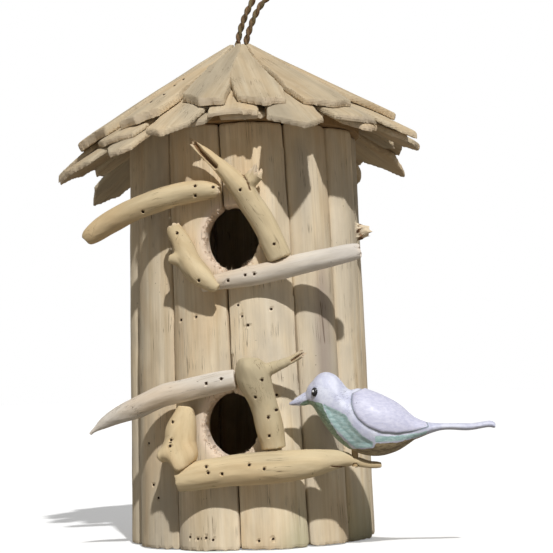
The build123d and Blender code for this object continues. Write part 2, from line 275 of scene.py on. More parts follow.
class Plan:
    """A node tree under construction, with links made as nodes are added."""

    def __init__(self, tree):
        self.tree = tree
        self.column = 0

    def add(self, kind, into=None, **settings):
        """A new node, with what goes into its sockets."""
        node = self.tree.nodes.new(kind)
        self.column += 1
        node.location = (self.column * 180, 0)
        for name, value in settings.items():
            setattr(node, name, value)
        for socket, value in (into or {}).items():
            self.feed(node, socket, value)
        return node

    def feed(self, node, socket, value):
        target = node.inputs[socket]
        if isinstance(value, bpy.types.NodeSocket):
            self.tree.links.new(value, target)
        elif isinstance(value, bpy.types.Node):
            self.tree.links.new(value.outputs[0], target)
        else:
            target.default_value = value

    def math(self, operation, first, second=0.0):
        return self.add("ShaderNodeMath", {0: first, 1: second}, operation=operation).outputs[0]

    def band(self, value, low, high, start=0.0, end=1.0):
        """The value's share of the way from low to high."""
        into = {"Value": value, "From Min": low, "From Max": high, "To Min": start, "To Max": end}
        return self.add("ShaderNodeMapRange", into, interpolation_type="SMOOTHSTEP").outputs[0]

    def blend(self, share, first, second, mode="MIX"):
        node = self.add("ShaderNodeMix", data_type="RGBA", blend_type=mode)
        self.feed(node, 0, share)
        self.feed(node, 6, first)
        self.feed(node, 7, second)
        return node.outputs[2]

    def two_tone(self, value, low, high, dark, pale):
        """A dark and a pale display colour, changing over between two values."""
        return self.blend(self.band(value, low, high), shade(*dark), shade(*pale))

    def scaled(self, vector, factors):
        return self.add("ShaderNodeVectorMath", {0: vector, 1: factors}, operation="MULTIPLY").outputs[0]

    def place(self):
        """The place on a piece, in millimetres."""
        return self.scaled(self.add("ShaderNodeTexCoord").outputs["Object"], (1000.0, 1000.0, 1000.0))

    def attribute(self, name, output="Fac"):
        """What shaping wrote on a piece under this name."""
        return self.add("ShaderNodeAttribute", attribute_name=name).outputs[output]

    def noise(self, vector, scale, detail, roughness=0.55, distortion=0.0):
        into = {"Vector": vector, "Scale": scale, "Detail": detail}
        into |= {"Roughness": roughness, "Distortion": distortion}
        return self.add("ShaderNodeTexNoise", into).outputs["Fac"]

    def bump(self, height, strength, distance):
        into = {"Height": height, "Strength": strength, "Distance": distance}
        return self.add("ShaderNodeBump", into).outputs[0]


def node_group(name, place, numbers, outputs):
    """An empty shader group that takes a place and numbers, and gives numbers."""
    tree = bpy.data.node_groups.new(name, "ShaderNodeTree")
    tree.interface.new_socket(place, in_out="INPUT", socket_type="NodeSocketVector")
    for label, default in numbers.items():
        socket = tree.interface.new_socket(label, in_out="INPUT", socket_type="NodeSocketFloat")
        socket.default_value = default
    for label in outputs:
        tree.interface.new_socket(label, in_out="OUTPUT", socket_type="NodeSocketFloat")
    plan = Plan(tree)
    return plan, plan.add("NodeGroupInput").outputs, plan.add("NodeGroupOutput")


def make_fibre_group():
    """Streaks, fine lines, cracks and relief of wood fibres, from grain coordinates in millimetres."""
    plan, given, sink = node_group(
        "wood_fibres", "Grain", {"Width": 3.0, "Length": 20.0}, ("Streaks", "Lines", "Cracks", "Relief")
    )
    squeeze = plan.math("DIVIDE", 1.0, given["Length"])
    factors = plan.add("ShaderNodeCombineXYZ", {0: 1.0, 1: 1.0, 2: squeeze})
    drawn = plan.scaled(given["Grain"], factors)
    wide = plan.math("DIVIDE", 1.0, given["Width"])
    streaks = plan.noise(drawn, wide, 5.0, 0.6, 0.4)
    lines = plan.noise(drawn, plan.math("MULTIPLY", wide, 3.2), 4.0, 0.65, 0.2)
    ridged = plan.noise(drawn, plan.math("MULTIPLY", wide, 1.4), 3.0, 0.5, 0.8)
    away = plan.math("ABSOLUTE", plan.math("SUBTRACT", ridged, 0.5))
    narrow = plan.math("SUBTRACT", 1.0, plan.band(away, 0.0, 0.012))
    sparse = plan.band(plan.noise(given["Grain"], 0.05, 2.0), 0.5, 0.62)
    cracks = plan.math("MULTIPLY", narrow, sparse)
    ribbed = plan.math("ADD", plan.math("MULTIPLY", streaks, 0.5), plan.math("MULTIPLY", lines, 0.5))
    relief = plan.math("SUBTRACT", ribbed, plan.math("MULTIPLY", cracks, 0.5))
    for label, value in (("Streaks", streaks), ("Lines", lines), ("Cracks", cracks), ("Relief", relief)):
        plan.feed(sink, label, value)
    return plan.tree


def make_weather_group():
    """Large patches, a grey film, and small dark specks."""
    plan, given, sink = node_group("weathering", "Place", {"Size": 40.0}, ("Patches", "Film", "Specks"))
    share = plan.math("DIVIDE", 1.0, given["Size"])
    drawn = plan.scaled(given["Place"], (1.0, 1.0, 0.35))
    patches = plan.noise(drawn, share, 3.0, 0.5, 0.6)
    film = plan.noise(drawn, plan.math("MULTIPLY", share, 2.7), 5.0, 0.6, 0.3)
    dots = plan.add("ShaderNodeTexVoronoi", {"Vector": given["Place"], "Scale": 0.16})
    inside = plan.math("SUBTRACT", 1.0, plan.band(dots.outputs["Distance"], 0.03, 0.07))
    sparse = plan.band(plan.noise(given["Place"], 0.03, 1.0), 0.52, 0.6)
    specks = plan.math("MULTIPLY", inside, sparse)
    for label, value in (("Patches", patches), ("Film", film), ("Specks", specks)):
        plan.feed(sink, label, value)
    return plan.tree


fibres = make_fibre_group()
weathering = make_weather_group()


def new_material(name):
    material = bpy.data.materials.new(name)
    material.use_nodes = True
    plan = Plan(material.node_tree)
    surface = material.node_tree.nodes["Principled BSDF"]
    surface.location = (4200, 0)
    return material, plan, surface


def use_group(plan, tree, **inputs):
    """Place a shader group, and give what it puts out."""
    node = plan.add("ShaderNodeGroup", node_tree=tree)
    for socket, value in inputs.items():
        plan.feed(node, socket, value)
    return node.outputs


def mottled_material(name, scale, detail, dark, pale, roughness):
    """A finish of two display colours in soft patches."""
    material, plan, surface = new_material(name)
    patches = plan.noise(plan.place(), scale, detail)
    plan.feed(surface, "Base Color", plan.blend(patches, shade(*dark), shade(*pale)))
    surface.inputs["Roughness"].default_value = roughness
    return material


# Display colours that the driftwood finishes share
warm_patch = (206, 172, 126)
purple_stain = (150, 134, 128)
green_stain = (158, 160, 124)
fresh_wood = (232, 212, 192)
# Bark's colours, also used as painted shade in cracks
dark_bark_and_crack_shade = (74, 52, 36)
pale_bark_and_crack_shade = (132, 98, 68)
crack_brown = (84, 62, 42)
speck_brown = (72, 52, 36)
# Painted shade inside worm holes
pit_shade = (48, 32, 20)


def marked(plan, colour, lines):
    """Stains, fresh wood and bark, and the painted shade in cracks, where shaping marked a piece with them.
    """
    stain = plan.attribute("stain")
    purple = plan.math("MULTIPLY", plan.band(stain, 0.0, 1.0), 0.6)
    colour = plan.blend(purple, colour, shade(*purple_stain))
    green = plan.math("MULTIPLY", plan.band(stain, 0.0, -1.0), 0.55)
    colour = plan.blend(green, colour, shade(*green_stain))
    colour = plan.blend(plan.math("MULTIPLY", plan.attribute("bare"), 0.8), colour, shade(*fresh_wood))
    bark_and_crack_shade_colour = plan.two_tone(lines, 0.35, 0.6, dark_bark_and_crack_shade, pale_bark_and_crack_shade)
    return plan.blend(plan.band(plan.attribute("bark_and_crack_shade"), 0.3, 0.6), colour, bark_and_crack_shade_colour)


def pitted(plan, colour, grain):
    """Ragged worm holes, darkened with painted shade."""
    away = plan.add("ShaderNodeVectorMath", {0: plan.attribute("pit", "Vector")}, operation="LENGTH")
    waver = plan.math("MULTIPLY", plan.noise(grain, 1.6, 2.0), 0.35)
    ragged = plan.math("ADD", away.outputs["Value"], waver)
    return plan.blend(plan.band(ragged, 1.6, 1.25), colour, shade(*pit_shade))


def wood_material(name, pale, body, dark, film, width, length, relief, contrast, plain=False):
    """Weathered wood: two colours in streaks, with dark cracks and specks and a film of another colour.

    A plain one reads no marks, and takes its grain from the place on the piece.
    """
    material, plan, surface = new_material(name)
    grain = plan.place() if plain else plan.attribute("grain", "Vector")
    wood = use_group(plan, fibres, Grain=grain, Width=width, Length=length)
    worn = use_group(plan, weathering, Place=grain, Size=42.0)
    spread = 0.2 / contrast
    colour = plan.two_tone(wood["Streaks"], 0.5 - spread, 0.5 + spread, body, pale)
    lined = plan.band(wood["Lines"], 0.28, 0.55, 1.0, 0.0)
    colour = plan.blend(plan.math("MULTIPLY", lined, 0.34 * contrast), colour, shade(*dark))
    patch = plan.math("MULTIPLY", plan.band(worn["Patches"], 0.46, 0.66), 0.7)
    colour = plan.blend(patch, colour, shade(*film))
    warm = plan.math("MULTIPLY", plan.band(worn["Patches"], 0.5, 0.34), 0.35)
    colour = plan.blend(warm, colour, shade(*warm_patch))
    lift = plan.band(worn["Film"], 0.3, 0.75, 0.88, 1.08)
    if not plain:
        tone = plan.math("MULTIPLY", plan.attribute("tone"), 0.1)
        lift = plan.math("MULTIPLY", lift, plan.math("ADD", 1.0, tone))
    bright = plan.add("ShaderNodeCombineXYZ", {0: lift, 1: lift, 2: lift})
    colour = plan.blend(1.0, colour, bright, "MULTIPLY")
    if not plain:
        colour = marked(plan, colour, wood["Lines"])
    # Paler on sharp ridges, as worn edges; darker in hollows and seams, a painted shade
    edges = plan.add("ShaderNodeNewGeometry").outputs["Pointiness"]
    colour = plan.blend(plan.band(edges, 0.51, 0.57, 0.0, 0.3), colour, shade(*pale))
    colour = plan.blend(plan.band(edges, 0.49, 0.42, 0.0, 0.55), colour, shade(*dark))
    colour = plan.blend(plan.math("MULTIPLY", wood["Cracks"], 0.7), colour, shade(*crack_brown))
    colour = plan.blend(plan.math("MULTIPLY", worn["Specks"], 0.7), colour, shade(*speck_brown))
    if not plain:
        colour = pitted(plan, colour, grain)
    plan.feed(surface, "Base Color", colour)
    plan.feed(surface, "Roughness", plan.band(wood["Lines"], 0.2, 0.8, 0.74, 0.92))
    plan.feed(surface, "Normal", plan.bump(wood["Relief"], relief, 0.0012))
    surface.inputs["Specular IOR Level"].default_value = 0.2
    return material


# Finishes: the pale, body, dark and film colours, the fibres' width and length in millimetres, how deep
# their relief is and how strong their contrast
stave_finish = wood_material(
    "bleached_stave", (234, 219, 192), (217, 197, 163), (168, 143, 108), (200, 189, 170), 5.0, 45.0, 0.3, 0.7
)
shingle_finish = wood_material(
    "split_shingle", (210, 194, 165), (192, 171, 138), (144, 120, 90), (176, 164, 142), 4.5, 30.0, 0.35, 0.7
)
limb_finish = wood_material(
    "sea_worn_limb", (220, 201, 164), (203, 180, 139), (164, 135, 96), (206, 192, 160), 7.0, 30.0, 0.16, 0.5
)
pale_limb_finish = wood_material(
    "bleached_limb", (232, 224, 212), (214, 202, 184), (170, 150, 124), (220, 212, 202), 4.0, 30.0, 0.22, 0.6
)
board_finish = wood_material(
    "inner_board", (170, 140, 100), (150, 118, 80), (104, 78, 50), (140, 116, 84), 3.0, 22.0, 0.3, 0.7,
    plain=True,
)
dowel_finish = wood_material(
    "plain_dowel", (196, 170, 128), (178, 148, 104), (130, 100, 66), (170, 146, 110), 1.5, 20.0, 0.2, 0.7,
    plain=True,
)


# Worm holes, in millimetres: how far their marks reach, how wide and deep they are sunk, and what stands
# for no hole near
pit_reach = 2.4
pit_width = 1.1
pit_depth = 0.8
no_pit = 9.0


def keep_plain(piece, tone):
    """The attributes that the wood finishes read, for a piece with nothing marked on it."""
    count = len(piece.data.vertices)
    present = piece.data.attributes.keys()
    paint(piece, "tone", np.full(count, tone))
    for name in ("bare", "stain", "bark_and_crack_shade"):
        if name not in present:
            paint(piece, name, np.zeros(count))
    if "pit" not in present:
        paint(piece, "pit", np.full((count, 3), no_pit))


def mark_pits(piece, spots, radius=0.65):
    """Sink worm holes, and keep each vertex's offset from the nearest one, in hole radii, for the finish."""
    points = points_of(piece) / MM
    moved = points.copy()
    front = normals_of(piece)[:, 1] < -0.1
    pit = np.full((len(points), 3), no_pit)
    for across, height in spots:
        offset = points[:, (0, 2)] - (across, height)
        away = np.hypot(offset[:, 0], offset[:, 1])
        near = front & (away < pit_reach)
        pit[near, :2] = offset[near] / radius
        pit[near, 2] = 0
        moved[front & (away < pit_width), 1] += pit_depth
    paint(piece, "pit", pit)
    move_points(piece, moved * MM)


def warp(piece, size, amount, *ways):
    """Bend a piece's outline with smooth noise, along the given directions only."""
    points = points_of(piece)
    shift = Vector([chance.uniform(0, 90) for _ in range(3)])
    bent = np.array([noise.noise_vector(Vector(point) / size + shift) for point in points])
    for way in ways:
        way = np.array(way)
        points += np.outer(bent @ way, way) * amount
    move_points(piece, points)


# Staves: how light each is, and worm holes as (across, height) in millimetres
stave_tones = {
    1: 0.6, 2: -0.6, 3: 0.1, 4: 0.7, 5: -0.3, 6: 0.4, 7: -0.5, 8: 0.3, 9: -0.7, 10: 0.5, 11: -0.2, 12: 0.2,
}
stave_pits = {
    2: [(-50.4, 32.0), (-54, 40), (-57, 66)],
    3: [(-28.3, 8.7), (-22.8, 7.7), (-17.5, 8.4), (-13.1, 7.1), (-31.2, 142.4), (-20.6, 143.6)],
    4: [(15.0, 5.9), (23.5, 6.9), (5.9, 150.0), (8.3, 143.1), (26.1, 146.9), (11.9, 137.4), (27.9, 94.0)],
}
holed_staves = (3, 4)
purple_stave = 5
green_staves = (4, 6)
stub_stave = 6

# The broken stub on the right: the middle of its end, and its radius and distance from the axis
stub_middle = Vector((0, -0.011, 0.199))
stub_radius = 0.0075
stub_reach = 0.0774


def wear_rims(points):
    """Fray the entrances' edges, and give how bare each vertex is left, most of all on the left."""
    bare = np.zeros(len(points))
    for hole in (upper_hole, lower_hole):
        across = points[:, 0] - hole.x
        up = points[:, 2] - hole.z
        rim = np.hypot(across / (hole_width / 2), up / (hole_rise / 2))
        flare = unit((1.36 - rim) / 0.2) * (points[:, 1] < -0.06) * (rim > 0.9)
        bare = np.maximum(bare, flare * np.clip(0.75 - across / hole_width, 0.25, 1))
        jag = ripple(points[:, 0] * 900, points[:, 2] * 900, 0)
        outward = np.column_stack((across, np.zeros(len(points)), up))
        outward /= np.linalg.norm(outward, axis=1)[:, None] + 1e-9
        edge = unit((1.25 - rim) / 0.25) * (rim > 0.85) * (points[:, 1] < -0.066)
        points += outward * (edge * jag * 0.0011)[:, None]
    return bare


def chip_foot(points, number):
    """Chip the saw-cut foot upwards, never below the level it stands on."""
    edge = unit((0.004 - points[:, 2]) / 0.004)
    ragged = ripple(points[:, 0] * 260, points[:, 1] * 260, 3 + number)
    points[:, 2] += edge * np.clip(0.0004 + ragged * 0.0009, 0, 0.001)
    points[:, 2] = np.clip(points[:, 2], 0, None)


def break_stub(piece, points):
    """Tear the stub's end, with bark left round its bare middle."""
    reach = np.hypot(points[:, 0], points[:, 1])
    stub = (reach > stub_reach) & (abs(points[:, 2] - stub_middle.z) < 0.014)
    ring = np.hypot(points[:, 1] - stub_middle.y, points[:, 2] - stub_middle.z) / stub_radius
    jag = ripple(points[:, 1] * 520, points[:, 2] * 520, 8)
    torn = stub * np.clip(0.001 + jag * 0.006, -0.001, 0.004) * (ring > 0.45)
    points += points * (1, 1, 0) / reach[:, None] * torn[:, None]
    move_points(piece, points)
    paint(piece, "bark_and_crack_shade", stub * unit((ring - 0.45) * 3))
    paint(piece, "bare", stub * unit((0.6 - ring) * 3))


def stain_stave(piece, points, number):
    """A purple band up one stave, and green at the foot of others, where the stain is below nothing."""
    across = points[:, 0]
    up = points[:, 2]
    if number == purple_stave:
        band = unit(1 - abs(across / MM - 56) / 8) * unit((up - 0.04) / 0.05)
        paint(piece, "stain", band * unit((0.2 - up) / 0.04))
    elif number in green_staves:
        paint(piece, "stain", -unit((0.045 - up) / 0.045) * unit((across - 0.02) / 0.02))


def stave(number):
    """One split log, with a wavy face, ragged seams and a saw-cut foot."""
    node = f"wall_stave_{number:02d}"
    piece = copy_of(node)
    low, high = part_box(node)
    points = points_of(piece)
    foot = Vector(points[points[:, 2] < low.z + 0.02].mean(axis=0))
    head = Vector(points[points[:, 2] > high.z - 0.02].mean(axis=0))
    along = head - foot
    soften(piece, stave_grid)
    roughen(piece, along, stave_relief)
    points = points_of(piece)
    if number in holed_staves:
        paint(piece, "bare", wear_rims(points))
    chip_foot(points, number)
    move_points(piece, points)
    if number == stub_stave:
        break_stub(piece, points)
    stain_stave(piece, points, number)
    if number in stave_pits:
        mark_pits(piece, stave_pits[number])
    grain_along(piece, along, grain_start())
    keep_plain(piece, stave_tones[number])
    piece.data.materials.append(stave_finish)
    place_piece(piece, slot_of[node], node)


for number in stave_tones:
    stave(number)


# Torn fibres on the entrances' rims
torn_fibre = mottled_material("torn_fibre", 0.4, 3.0, (198, 170, 140), (246, 232, 214), 0.85)
fibre_count = 260


def rim_fibres(hole, name):
    """Torn fibres that stand from an entrance's rim towards its middle, on its left and along its bottom."""
    walls = [bpy.data.objects[f"worn_wall_stave_{number:02d}"] for number in holed_staves]
    vertices = []
    faces = []
    for _ in range(fibre_count):
        turn = radians(chance.uniform(115, 318))
        spread = chance.uniform(1.02, 1.2)
        across = hole.x + cos(turn) * hole_width / 2 * spread
        height = hole.z + sin(turn) * hole_rise / 2 * spread
        depths = [wall.ray_cast(Vector((across, -0.12, height)), Vector((0, 1, 0))) for wall in walls]
        depths = [spot.y for found, spot, _, _ in depths if found and spot.y < -0.055]
        if not depths:
            continue
        root = Vector((across, min(depths) + 0.0003, height))
        forward = chance.uniform(-0.9, 0.1)
        upward = chance.uniform(-0.6, 0.6) - sin(turn)
        way = Vector((-cos(turn), forward, upward)).normalized()
        side = way.orthogonal().normalized()
        other = way.cross(side)
        thick = chance.uniform(0.00012, 0.00024)
        first, second, third, tip = range(len(vertices), len(vertices) + 4)
        for corner in range(3):
            angle = 2 * pi * corner / 3
            vertices.append(root + (side * cos(angle) + other * sin(angle)) * thick)
        vertices.append(root + way * chance.uniform(0.0009, 0.0028))
        faces += [(first, second, tip), (second, third, tip), (third, first, tip), (third, second, first)]
    mesh = bpy.data.meshes.new(name)
    mesh.from_pydata(vertices, [], faces)
    piece = bpy.data.objects.new(name, mesh)
    bpy.context.scene.collection.objects.link(piece)
    piece.data.materials.append(torn_fibre)
    place_piece(piece, "stave_wood")


rim_fibres(upper_hole, "upper_rim_fibres")
rim_fibres(lower_hole, "lower_rim_fibres")


# Slabs: what is added to their thickness and width, in metres, with more on the roof's top row, most of
# all towards its left, and worm holes as (across, height) in millimetres
slab_swell = 0.0007
top_slab_swell = 0.0012
left_slab_swell = 0.0014
slab_pits = {"top_shingle_left_front": [(-34.7, 293.8), (-39.3, 286.2), (-47, 281), (-30, 299)]}


def thicken(slab, face, level, top):
    """Raise a slab's upper face, and widen it a little."""
    normals = normals_of(slab)
    points = points_of(slab)
    left = unit(0.5 - points[:, 0] / 0.05)
    extra = top_slab_swell + left_slab_swell * left if top else slab_swell
    points += np.outer(extra * unit(normals @ face * 1.6), face)
    points += np.outer(normals @ level * slab_swell, level)
    move_points(slab, points)


def shingles(node):
    """The slabs of a node, each weathered along its own fibres, with pale broken lower ends."""
    slabs = []
    for slab in loose_parts(copy_of(node)):
        centre = Vector(points_of(slab).mean(axis=0))
        along = (centre - peak).normalized()
        level = along.cross(Vector((0, 0, 1))).normalized()
        face = level.cross(along)
        face = face if face.z > 0 else -face
        soften(slab, shingle_grid, 1)
        end = normals_of(slab) @ np.array(along)
        thicken(slab, np.array(face), np.array(level), node.startswith("top"))
        roughen(slab, along, shingle_relief)
        warp(slab, 0.034, 0.0042, along, level)
        warp(slab, 0.012, 0.0011, along, level)
        move_points(slab, np.clip(points_of(slab), *cad_box))
        grain_along(slab, along, grain_start())
        paint(slab, "bare", unit((end - 0.5) * 3) * 0.35)
        if node in slab_pits:
            mark_pits(slab, slab_pits[node])
        keep_plain(slab, chance.uniform(-1, 1))
        slabs.append(slab)
    piece = joined(slabs, f"worn_{node}")
    piece.data.materials.append(shingle_finish)
    place_piece(piece, slot_of[node], node)


for node in sorted(frame["nodes"]):
    if "shingle" in node:
        shingles(node)

# Limbs, with the line that each one's fibres follow, in millimetres across and up
limb_lines = {
    "upper_left_branch": [(-90, 194), (-70, 206.8), (-40, 217.5), (-2.5, 220.2)],
    "upper_left_stub": [(-33.5, 201.5), (-27, 188), (-16, 169.5), (-3.5, 160)],
    "upper_perch": [(-16, 162.4), (40, 172.2), (83, 180)],
    "upper_right_fork": [(-18.5, 251.2), (8.6, 224.4), (24.3, 199.8), (33.6, 177)],
    "lower_left_branch": [(-89, 73), (-70, 84.7), (-43.2, 94.9), (5, 104.3)],
    "lower_left_stub": [(-28, 88.1), (-30.6, 66.6), (-26.5, 52.5)],
    "lower_perch": [(-36, 44.1), (3, 49.5), (46, 52.1), (92, 50.9)],
    "lower_right_fork": [(14.5, 116.9), (20.9, 91.2), (26.6, 62)],
}
pale_limbs = ("upper_perch", "lower_left_branch")
limb_tones = {"upper_right_fork": -0.3, "upper_left_stub": -0.5, "lower_right_fork": -1.0, "lower_perch": 0.2}
limb_pits = {
    "upper_left_branch": [(-16.7, 223.6), (-5.7, 222.5), (-16.9, 217.7), (-50.6, 209.6)],
    "upper_right_fork": [(11.8, 219.2), (31.3, 185.5)],
    "upper_left_stub": [(-29.7, 195.5), (-15.1, 164.8)],
    "upper_perch": [(12.7, 167.5), (18.3, 167.9), (2, 164.5)],
    "lower_left_branch": [(-12.5, 102.2), (-3.2, 104.7)],
    "lower_right_fork": [(22.6, 103.2), (29.6, 85.0), (25.2, 69.6), (18, 93), (25.1, 80.7)],
    "lower_left_stub": [(-34.3, 79.5), (-34.7, 68.8), (-35.1, 65.2)],
    "lower_perch": [(-11.8, 48.6), (-3.3, 47.8), (13.3, 52.8), (22.3, 50.2), (-13.1, 52.2)],
}

# Broken ends: a place on the limb, the way its fibres point, and how far back, how wide and how long
# they tear
torn_ends = {
    "upper_right_fork": [
        ((-18.5, 251.2), (-0.75, 0.66), 14, 8, 4),
        ((23, 230), (0.35, 0.94), 6, 9, 3.2),
    ],
    "upper_left_branch": [((-2.5, 220.2), (1, -0.1), 4, 11, 1.5)],
    "lower_right_fork": [((47, 118.7), (0.85, 0.5), 8, 7, 4)],
    "upper_perch": [((83, 180), (1, 0.2), 3, 7, 1)],
    "upper_left_stub": [((-33.5, 201.5), (-0.3, 1), 3, 8, 1)],
}

# Cracks: a line along the limb, how wide and how deep
cracks = {
    "upper_right_fork": [
        ([(-17.5, 251.5), (-12.2, 244.3), (-8.2, 239.9), (-3.3, 234.7)], 2.0, 4),
        ([(12, 231), (16, 225), (18, 219)], 0.9, 1),
    ],
    "lower_right_fork": [([(40, 114.2), (46, 118)], 1.0, 1.2)],
    "lower_perch": [([(62, 50.6), (72, 49.6), (80, 48.6)], 0.8, 0.6)],
}

# Swellings: a place, how far it's pushed across, in depth and up, and over what radius
swellings = {
    "lower_left_stub": [
        ((-37, 61), (-4.5, -3, -1), 10), ((-30, 55), (-1, -3.5, -3.5), 8), ((-22, 60), (1.5, -1.5, -0.5), 8),
    ],
    "lower_right_fork": [((16, 112), (-1.5, -1.5, 0.5), 10)],
    "upper_right_fork": [((16, 220), (0.5, -1.5, 1), 9)],
}


def tear(piece, place, way, reach, spread, length):
    """Draw the skin near an end out into splinters, and give how bare each vertex is left."""
    points = points_of(piece) / MM
    way = np.array(way) / np.hypot(*way)
    rel = points[:, (0, 2)] - place
    run = rel @ way
    side = rel @ np.array((-way[1], way[0]))
    share = unit(1 + run / reach) * (abs(side) < spread)
    jag = ripple(side / 2, points[:, 1] / 2, 5)
    long = np.clip(jag * 2.2, -0.55, 1.4) * length * share**2
    points[:, 0] += way[0] * long
    points[:, 2] += way[1] * long
    points[:, 1] += unit(-jag * 2) * share * 0.5
    move_points(piece, points * MM)
    return unit(share * 1.6 - 0.8) * 0.8


def score(piece, line, width, depth):
    """Cut a narrow crack into the front of a limb, and give how dark each vertex is left: painted shade in
    the crack.
    """
    points = points_of(piece) / MM
    front = normals_of(piece)[:, 1] < -0.2
    dark = np.zeros(len(points))
    for (x0, z0), (x1, z1) in zip(line, line[1:]):
        run = np.array((x1 - x0, z1 - z0))
        rel = points[:, (0, 2)] - (x0, z0)
        share = unit(rel @ run / (run @ run))
        away = np.linalg.norm(rel - share[:, None] * run, axis=1)
        dark = np.maximum(dark, unit(1 - away / width) * front)
    points[:, 1] += dark * depth
    move_points(piece, points * MM)
    return unit(dark * 1.8)


def swell(piece, place, push, size):
    """Push the skin round a place, fading to nothing at a distance."""
    points = points_of(piece) / MM
    away = np.hypot(points[:, 0] - place[0], points[:, 2] - place[1])
    points += np.outer(eased(unit(1 - away / size)), push)
    move_points(piece, points * MM)


def limb(node):
    """A branch worn smooth by the sea."""
    line = limb_lines[node]
    piece = copy_of(node)
    along = Vector((line[-1][0] - line[0][0], 0, line[-1][1] - line[0][1]))
    soften(piece, limb_grid)
    roughen(piece, along, limb_relief)
    bare = np.zeros(len(piece.data.vertices))
    for end in torn_ends.get(node, ()):
        bare = np.maximum(bare, tear(piece, *end))
    for swelling in swellings.get(node, ()):
        swell(piece, *swelling)
    paint(piece, "bare", bare)
    # Cracks are darkened with the bark's colours, as painted shade
    if node in cracks:
        dark = [score(piece, *crack) for crack in cracks[node]]
        paint(piece, "bark_and_crack_shade", np.max(dark, axis=0) * 0.62)
    if node in limb_pits:
        mark_pits(piece, limb_pits[node], 0.7)
    grain_of_limb(piece, line, grain_start())
    keep_plain(piece, limb_tones.get(node, 0.0))
    piece.data.materials.append(pale_limb_finish if node in pale_limbs else limb_finish)
    place_piece(piece, slot_of[node], node)


for node in limb_lines:
    limb(node)

# Boards and the dowel keep their nodes' own meshes
for node in ("base_plate", "middle_floor", "top_plate", "roof_core", "bird_peg"):
    finish_node(node, dowel_finish if node == "bird_peg" else board_finish)


# Bird: outlines of its wing and of its painted parts, as (across, height) in millimetres
outlines = {
    "wing": [
        (76.6, 93.1), (76.4, 88), (77.1, 85.2), (78.2, 82), (80.1, 78.8), (83, 76), (86.3, 73.6),
        (93.2, 70.6), (102.5, 69.5), (111, 70.3), (116.5, 71.7), (120.4, 72.8), (119, 75.5), (110.5, 84),
        (100.5, 90), (91, 95), (84, 96.5),
    ],
    "aqua": [
        (58.5, 88.1), (72.2, 81.4), (76.7, 74.2), (82.1, 68.5), (88.1, 64.4), (87.9, 61.6), (77.3, 60.9),
        (72.8, 65.5), (66.7, 72), (62.1, 78.4),
    ],
    "throat": [
        (49, 90.6), (58.5, 88.1), (62.1, 78.4), (66.5, 70.4), (71.9, 64.6), (76, 60.2), (67, 58), (58, 68),
        (48, 80), (44, 88),
    ],
    "lower": [
        (89.2, 68.3), (100, 67.6), (114, 69), (120.5, 70.8), (119, 68.4), (113.1, 66.6), (101, 64.6),
        (89.7, 64.4),
    ],
    "belly": [
        (73.5, 60.8), (80, 60.6), (87.8, 60.8), (89.7, 63.8), (102.9, 64), (113.7, 66.3), (121, 68.6),
        (122, 64), (104, 50), (76, 50),
    ],
}


def depth_inside(places, outline):
    """How far places lie inside an outline, in millimetres, negative outside it."""
    best = np.full(len(places), np.inf)
    inside = np.zeros(len(places), bool)
    for (x0, z0), (x1, z1) in zip(outline, outline[1:] + outline[:1]):
        run = np.array((x1 - x0, z1 - z0), float)
        rel = places - (x0, z0)
        share = unit(rel @ run / (run @ run))
        best = np.minimum(best, np.linalg.norm(rel - share[:, None] * run, axis=1))
        spans = (z0 > places[:, 1]) != (z1 > places[:, 1])
        rise = z1 - z0 or 1e-9
        inside ^= spans & (places[:, 0] < x0 + (places[:, 1] - z0) * (x1 - x0) / rise)
    return np.where(inside, best, -best)


# Paint and painted shade as display colours, each paint with its darker and its lighter strokes
white_paint = ((196, 198, 218), (220, 222, 235))
aqua_paint = ((158, 190, 188), (196, 220, 218))
# The throat's grey-green paint, its darker strokes partly painted shade under the head
throat_paint_and_shade = ((112, 136, 116), (150, 172, 152))
# The belly's brown bare wood, its darker strokes partly painted shade
belly_wood_and_shade = ((128, 112, 84), (170, 152, 118))
wing_paint = ((192, 192, 214), (212, 211, 228))
wing_shadow = (92, 112, 116)
rubbed_wood = (184, 168, 140)
split_dark = (66, 68, 84)
# Painted shade along the beak's gape
mouth_shade_colour = (78, 72, 70)


